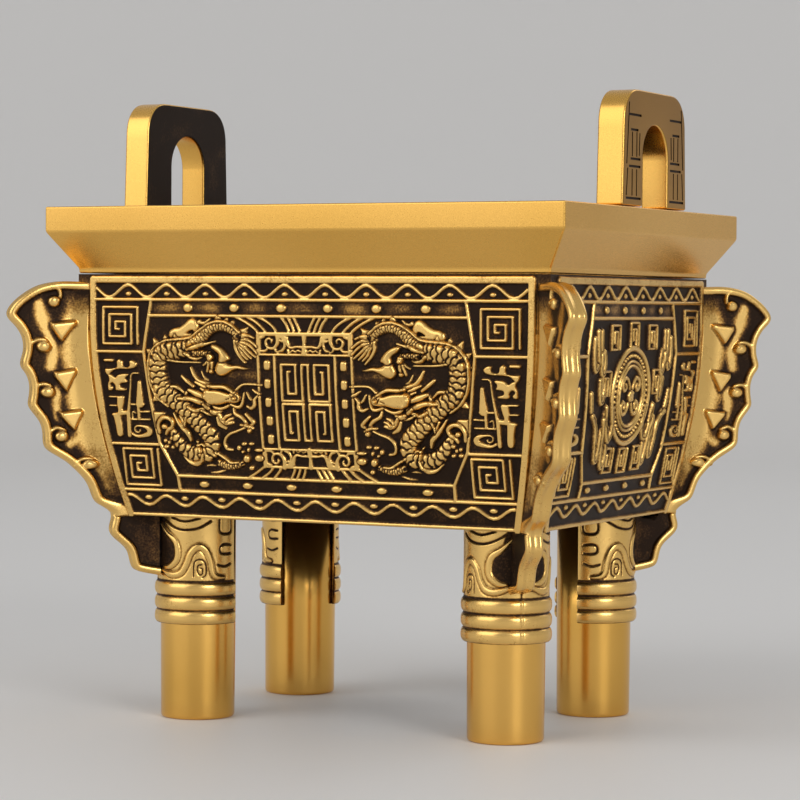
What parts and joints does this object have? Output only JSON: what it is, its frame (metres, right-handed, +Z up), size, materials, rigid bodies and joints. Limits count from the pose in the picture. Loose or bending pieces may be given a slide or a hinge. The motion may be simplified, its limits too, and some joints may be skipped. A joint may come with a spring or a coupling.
{
  "type": "square ding cauldron",
  "caption": "Rectangular four-legged ritual vessel with a sloped rim, upright ears, raised ornament on its walls and scalloped corner flanges.",
  "frame": {"origin": "on the surface that the vessel stands on, under the middle of its mouth", "axes": "+Z up, X along the long sides, the ears on the two X sides, the front towards -Y"},
  "size_m": [0.2016, 0.1648, 0.2008],
  "materials": {
    "polished_brass": "satin, brushed",
    "antique_brass": "dark patina, rubbed bright on raised ornament",
    "steel": "plain"
  },
  "bodies": {
    "root": {"rim_collar": "polished_brass", "front_wall": "antique_brass", "back_wall": "antique_brass", "left_wall": "antique_brass", "right_wall": "antique_brass", "floor_plate": "antique_brass", "left_ear": "polished_brass", "right_ear": "polished_brass", "ear_pin_left_front": "steel", "ear_pin_left_back": "steel", "ear_pin_right_front": "steel", "ear_pin_right_back": "steel", "flange_front_left": "antique_brass", "flange_front_right": "antique_brass", "flange_back_left": "antique_brass", "flange_back_right": "antique_brass", "leg_front_left": "polished_brass", "leg_front_right": "polished_brass", "leg_back_left": "polished_brass", "leg_back_right": "polished_brass", "sleeve_front_left": "antique_brass", "sleeve_front_right": "antique_brass", "sleeve_back_left": "antique_brass", "sleeve_back_right": "antique_brass", "leg_screw_front_left": "steel", "leg_screw_front_right": "steel", "leg_screw_back_left": "steel", "leg_screw_back_right": "steel"}
  },
  "joints": []
}
